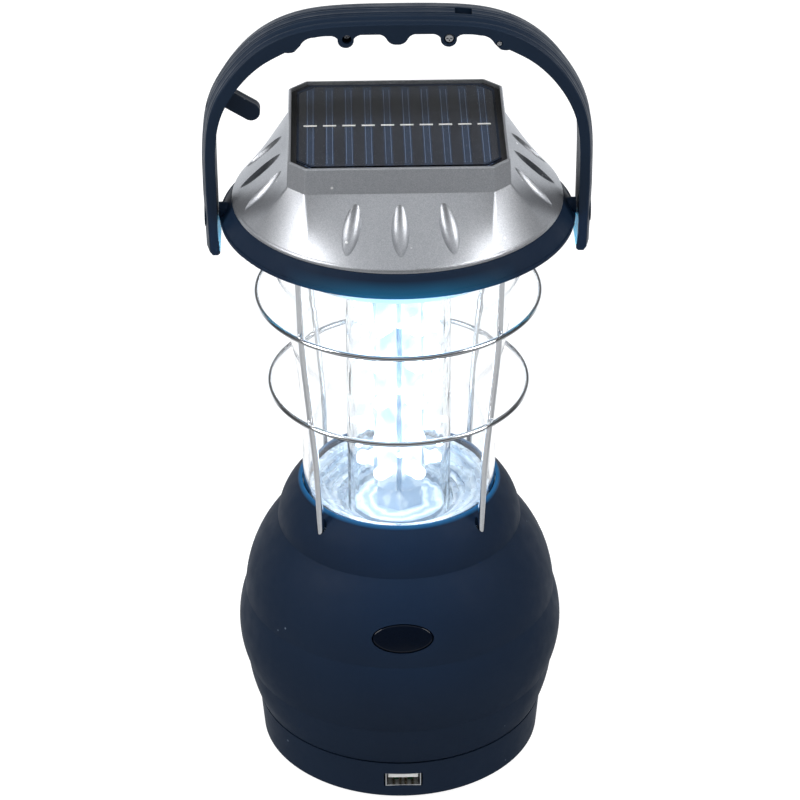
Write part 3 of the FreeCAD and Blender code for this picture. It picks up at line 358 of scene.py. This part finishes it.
def painted_lip_glow(material, z_low, z_high, half_width, colour, strength):
    """Painted lamp light that leaks out along a lip: an emission glow painted between two heights, most in
    the middle.
    """
    tree = material.node_tree
    shader = shader_of(material)
    split = add(tree, "SeparateXYZ")
    join(tree, add(tree, "TexCoord").outputs["Object"], split, 0)
    up = ranged(tree, split.outputs["Z"], z_low, z_high, 0.0, 1.0)
    aside = add(tree, "Math", operation="ABSOLUTE")
    join(tree, split.outputs["X"], aside, 0)
    middle = ranged(tree, aside.outputs[0], half_width, half_width * 0.3, 0.0, 1.0)
    both = add(tree, "Math", operation="MULTIPLY")
    join(tree, up, both, 0)
    join(tree, middle, both, 1)
    # Painted glow: emission on a shell that is no lamp.
    shader.inputs["Emission Color"].default_value = (*colour, 1.0)
    join(tree, ranged(tree, both.outputs[0], 0.0, 1.0, 0.0, strength), shader, "Emission Strength")


def metal(name, colour, roughness, grain, stretch=None, metallic=1.0):
    """Bare or painted-on metal, its polish a little uneven."""
    material, tree = new_material(name)
    shader = principled(tree, {"Metallic": metallic})
    shade = tuple(c * 0.86 for c in colour)
    join(tree, mixed(tree, noise(tree, 700.0, 3.0, stretch=stretch), colour, shade), shader, "Base Color")
    gloss = ranged(tree, noise(tree, 900.0, 3.0, stretch=stretch), 0.3, 0.7, roughness * 0.7, roughness * 1.4)
    join(tree, gloss, shader, "Roughness")
    join(tree, bumped(tree, noise(tree, 3000.0, 2.0, stretch=stretch), grain, 0.00005), shader, "Normal")
    return material


def silver_paint():
    """Metallic silver paint: flakes that catch the light one by one, under a satin skin."""
    material, tree = new_material("silver_paint")
    shader = principled(tree, {"Metallic": 0.92})
    where = add(tree, "TexCoord").outputs["Object"]
    flakes = add(tree, "TexVoronoi", {"Scale": FLAKE_SCALE})
    join(tree, where, flakes, "Vector")
    value = add(tree, "SeparateColor")
    join(tree, flakes.outputs["Color"], value, 0)
    shade = mixed(tree, value.outputs[0], FLAKE_DARK, FLAKE_LIGHT)
    shade = mixed(tree, specks(tree, SPARKLE_SCALE, 0.075), shade, (0.95, 0.95, 0.95))
    join(tree, shade, shader, "Base Color")
    gloss = ranged(tree, value.outputs[1], 0.0, 1.0, 0.38, 0.50)
    join(tree, gloss, shader, "Roughness")
    join(tree, bumped(tree, value.outputs[2], 0.10, 0.00003), shader, "Normal")
    return material


def clear(name, tint, roughness, ior, ripple, ripple_scale, stretch=(1, 1, 1)):
    """Clear moulded plastic. Lamps shine through it, so that the column lights what is outside."""
    material, tree = new_material(name)
    glass = {"Base Color": (*tint, 1.0), "Transmission Weight": 1.0, "IOR": ior}
    shader = add(tree, "BsdfPrincipled", glass)
    haze = ranged(tree, noise(tree, 300.0, 3.0), 0.35, 0.7, roughness * 0.4, roughness * 1.6)
    join(tree, haze, shader, "Roughness")
    waves = noise(tree, ripple_scale, 2.0, stretch=stretch)
    join(tree, bumped(tree, waves, ripple, 0.0006), shader, "Normal")
    through = add(tree, "BsdfTransparent", {"Color": (*tint, 1.0)})
    path = add(tree, "LightPath")
    mix = add(tree, "MixShader")
    out = add(tree, "OutputMaterial")
    join(tree, path.outputs["Is Shadow Ray"], mix, 0)
    join(tree, shader.outputs[0], mix, 1)
    join(tree, through.outputs[0], mix, 2)
    join(tree, mix.outputs[0], out, "Surface")
    return material


def lamp_lens():
    """A lit lamp: water-clear resin that glows most from its dome."""
    material, tree = new_material("led_lens")
    shader = principled(tree, {"Roughness": 0.12, "Emission Color": (*LED_WHITE, 1.0)})
    join(tree, mixed(tree, noise(tree, 500.0), (0.86, 0.93, 1.0), (0.97, 0.99, 1.0)), shader, "Base Color")
    join(tree, ranged(tree, noise(tree, 900.0), 0.3, 0.7, 3.6, 5.6), shader, "Emission Strength")
    return material


def solar_silicon(name, dark, light):
    """Silicon or its dark blue backing under the panel's epoxy, with a crystal mottle."""
    material, tree = new_material(name)
    shader = principled(tree, {"Specular IOR Level": 0.1})
    shade = mixed(tree, ranged(tree, noise(tree, 260.0, 4.0), 0.3, 0.8, 0.0, 1.0), dark, light)
    join(tree, shade, shader, "Base Color")
    join(tree, ranged(tree, noise(tree, 900.0, 3.0), 0.3, 0.7, 0.30, 0.42), shader, "Roughness")
    return material


def circuit():
    material, tree = new_material("circuit_board")
    shader = principled(tree, {"Roughness": 0.35, "Specular IOR Level": 0.5})
    where = add(tree, "TexCoord").outputs["Object"]
    bricks = add(tree, "TexBrick", {"Scale": 220.0, "Mortar Size": 0.03,
                                    "Color1": (0.012, 0.10, 0.035, 1), "Color2": (0.016, 0.13, 0.05, 1),
                                    "Mortar": (0.03, 0.20, 0.08, 1)})
    join(tree, where, bricks, "Vector")
    join(tree, bricks.outputs["Color"], shader, "Base Color")
    return material


def make_materials():
    """One material for each slot of the record."""
    return {
        "soft_navy": moulded("soft_navy", NAVY_DARK, NAVY_LIGHT, 0.62, 0.25, 0.12, 0.035),
        "handle_navy": ribbed(moulded("handle_navy", (0.0050, 0.0125, 0.0270), (0.0075, 0.0175, 0.0370),
                                      0.48, 0.3, 0.14, 0.035)),
        "silver_shell": silver_paint(),
        "chrome_wire": metal("chrome_wire", (0.90, 0.91, 0.93), 0.12, 0.05),
        "screw_steel": metal("screw_steel", (0.62, 0.62, 0.63), 0.22, 0.15),
        "clear_globe": clear("clear_globe", (0.955, 0.967, 0.977), 0.015, 1.46, 0.25, 30.0, (1, 1, 0.35)),
        "clear_tube": clear("clear_tube", (0.95, 0.97, 0.985), 0.03, 1.46, 1.0, 100.0, (1, 1, 0.45)),
        "white_inner": moulded("white_inner", (0.70, 0.73, 0.76), (0.80, 0.82, 0.84), 0.42, 0.15, 0.4),
        # The reflector carries painted caustic rings of light and shade.
        "reflector": painted_caustics(metal("reflector", (0.72, 0.76, 0.80), 0.26, 0.1, (0.15, 0.15, 0.15),
                                   metallic=0.45), 0.45),
        "led_lens": lamp_lens(),
        "circuit_board": circuit(),
        "component_black": moulded("component_black", (0.010, 0.010, 0.011), (0.018, 0.018, 0.019),
                                   0.45, 0.3, 0.4),
        "rubber_black": moulded("rubber_black", (0.010, 0.010, 0.010), (0.016, 0.016, 0.017), 0.75, 0.5, 0.2),
        "cell_can": moulded("cell_can", (0.04, 0.16, 0.07), (0.05, 0.19, 0.085), 0.30, 0.08, 0.5),
        "contact_metal": metal("contact_metal", (0.78, 0.66, 0.42), 0.18, 0.1),
        "silicon": solar_silicon("solar_silicon", (0.0085, 0.0098, 0.0140), (0.0150, 0.0170, 0.0230)),
        "panel_dark": solar_silicon("panel_dark", (0.0110, 0.0190, 0.0380), (0.0180, 0.0290, 0.0520)),
        "tabbing": metal("tabbing", (0.86, 0.84, 0.78), 0.35, 0.3, metallic=0.15),
        "panel_epoxy": clear("panel_epoxy", (0.97, 0.98, 1.0), 0.03, 1.5, 0.15, 60.0),
        "button_gloss": moulded("button_gloss", (0.0008, 0.0024, 0.0065), (0.0014, 0.0034, 0.0085),
                                0.14, 0.02, 0.28),
        "usb_metal": metal("usb_metal", (0.72, 0.73, 0.74), 0.2, 0.2),
        "usb_plastic": moulded("usb_plastic", (0.80, 0.80, 0.78), (0.88, 0.88, 0.86), 0.38, 0.1, 0.45),
        "wire_red": moulded("wire_red", (0.38, 0.012, 0.010), (0.45, 0.018, 0.014), 0.42, 0.15, 0.4),
    }


def own_materials():
    """Shells with a painted glow of lamp light on their lips, and the light column's duller white with
    painted caustics.
    """
    navy = (NAVY_DARK, NAVY_LIGHT, 0.62, 0.25, 0.12, 0.035)
    mouth_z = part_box("body_shell")[1].z
    rim_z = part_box("top_rim")[1].z
    mouth = moulded("soft_navy_mouth", *navy)
    # Painted glow of lamp light along the bell mouth's lip.
    painted_lip_glow(mouth, mouth_z - 1.0 * MM, mouth_z, 0.2, (0.02, 0.30, 0.75), 0.32)
    rim = moulded("soft_navy_rim", *navy)
    # Painted glow of lamp light on the rim, strongest low down and towards the middle.
    painted_lip_glow(rim, rim_z - 2 * MM, rim_z - 6.5 * MM, 0.040, (0.02, 0.50, 1.0), 0.17)
    # The light column is a duller white with painted caustic rings of light and shade.
    column = moulded("column_white", (0.52, 0.56, 0.59), (0.62, 0.65, 0.67), 0.42, 0.15, 0.4)
    painted_caustics(column, 0.6)
    return {"body_shell": mouth, "top_rim": rim, "led_column": column, "led_boards": column}


def dress_nodes(materials):
    """Every CAD node takes the material of its slot in the record, or its own variant of it."""
    own = own_materials()
    for row in frame["record"]["subparts"]:
        node = frame["nodes"][row["node"]]
        node.data.materials.clear()
        node.data.materials.append(own.get(row["node"], materials[row["material_slot"]]))


# Light column -------------------------------------------------------------------------------
COLUMN_ROWS = 3
COLUMN_SIDES = 6
COLUMN_CLEARANCE = 0.6 * MM
COLUMN_LAMP_RADIUS = 1.2 * MM
COLUMN_LAMP_POWER = 0.0040
COLUMN_LAMP_COLOUR = (0.62, 0.82, 1.0)


def make_column_light():
    """Point lamps between the lit lamps and the tube, which throw the column's light outside."""
    low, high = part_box("leds")
    radius = high.x + COLUMN_CLEARANCE
    for row in range(COLUMN_ROWS):
        z = low.z + (high.z - low.z) * (row + 0.5) / COLUMN_ROWS
        for step in range(COLUMN_SIDES):
            angle = math.tau / COLUMN_SIDES * (step + 0.5)
            data = bpy.data.lights.new(f"column_{row}_{step}", "POINT")
            data.energy = COLUMN_LAMP_POWER
            data.color = COLUMN_LAMP_COLOUR
            data.shadow_soft_size = COLUMN_LAMP_RADIUS
            lamp = bpy.data.objects.new(data.name, data)
            lamp.location = (radius * math.cos(angle), radius * math.sin(angle), z)
            bpy.context.scene.collection.objects.link(lamp)


# Finer pieces -------------------------------------------------------------------------------
GAPS = 10                       # between the eleven silicon strips
TAB_LENGTH = 4.6 * MM
LINE_INSET = 3.2 * MM
LINE_OFFSET = 1.0 * MM
LINE_HALF = 0.09 * MM
LINE_HEIGHT = 0.08 * MM
DASH_HALF_LENGTH = 1.5 * MM
DASH_HALF_WIDTH = 0.19 * MM
DASH_HEIGHT = 0.06 * MM


def strip_mesh(name, boxes):
    """One mesh of many thin boxes, each given by its low and high corners."""
    points = []
    faces = []
    for low, high in boxes:
        base = len(points)
        for z in (low[2], high[2]):
            points += [(low[0], low[1], z), (high[0], low[1], z), (high[0], high[1], z), (low[0], high[1], z)]
        faces += [tuple(base + i for i in face) for face in
                  ((3, 2, 1, 0), (4, 5, 6, 7), (0, 1, 5, 4), (1, 2, 6, 5), (2, 3, 7, 6), (3, 0, 4, 7))]
    mesh = bpy.data.meshes.new(name)
    mesh.from_pydata(points, [], faces)
    made = bpy.data.objects.new(name, mesh)
    bpy.context.scene.collection.objects.link(made)
    return made


def gap_middles():
    """Where each gap between two silicon strips lies along X."""
    low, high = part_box("cell_tabbing")
    pitch = (high.x - low.x - TAB_LENGTH) / (GAPS - 1)
    return [low.x + TAB_LENGTH / 2 + i * pitch for i in range(GAPS)]


def make_panel_lines():
    """Two fine printed lines on the dark band between each two silicon strips."""
    low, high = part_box("panel_board")
    boxes = []
    for middle in gap_middles():
        for side in (-1, 1):
            x = middle + side * LINE_OFFSET
            boxes.append(((x - LINE_HALF, low.y + LINE_INSET, high.z),
                          (x + LINE_HALF, high.y - LINE_INSET, high.z + LINE_HEIGHT)))
    lines = strip_mesh("panel_lines", boxes)
    lines.data.materials.append(metal("printed_line", (0.13, 0.19, 0.30), 0.4, 0.2, metallic=0.2))
    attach(lines, "lantern")


def make_tab_ribbon(material):
    """A bright tinned face on each tab that joins two silicon strips."""
    low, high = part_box("cell_tabbing")
    y = (low.y + high.y) / 2
    boxes = []
    for middle in gap_middles():
        boxes.append(((middle - DASH_HALF_LENGTH, y - DASH_HALF_WIDTH, low.z),
                      (middle + DASH_HALF_LENGTH, y + DASH_HALF_WIDTH, high.z + DASH_HEIGHT)))
    ribbon = strip_mesh("tab_ribbon", boxes)
    ribbon.data.materials.append(material)
    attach(ribbon, "lantern")


make_camera()
make_studio()
MATERIALS = make_materials()
dress_nodes(MATERIALS)
make_panel_lines()
make_tab_ribbon(MATERIALS["tabbing"])
make_column_light()
bpy.context.scene.view_settings.view_transform = "Standard"
